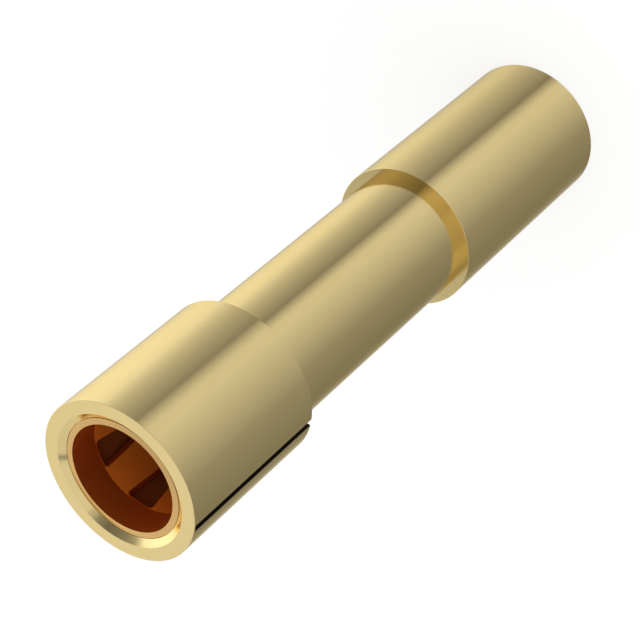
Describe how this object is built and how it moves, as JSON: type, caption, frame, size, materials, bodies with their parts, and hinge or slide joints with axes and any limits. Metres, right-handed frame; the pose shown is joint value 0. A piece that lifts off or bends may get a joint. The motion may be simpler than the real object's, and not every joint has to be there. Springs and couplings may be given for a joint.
{
  "type": "socket crimp contact",
  "caption": "Gold-plated turned socket contact with a slit hood over sprung fingers, a slimmer neck and a closed crimp barrel for a stranded wire.",
  "frame": {"origin": "centre of the rear end face of the crimp barrel, on which the contact stands", "axes": "+Z along the contact's axis towards the pin entry, +X towards the slit in the hood"},
  "size_m": [0.0032, 0.0032, 0.0139],
  "materials": {
    "gold_plated_brass": "turned and gold plated, bright",
    "gold_plated_sleeve": "turned and gold plated, bright",
    "gold_plated_spring": "spring alloy, gold plated, bright"
  },
  "bodies": {
    "root": {"contact_body": "gold_plated_brass", "hood": "gold_plated_sleeve", "contact_cage": "gold_plated_spring"}
  },
  "joints": []
}
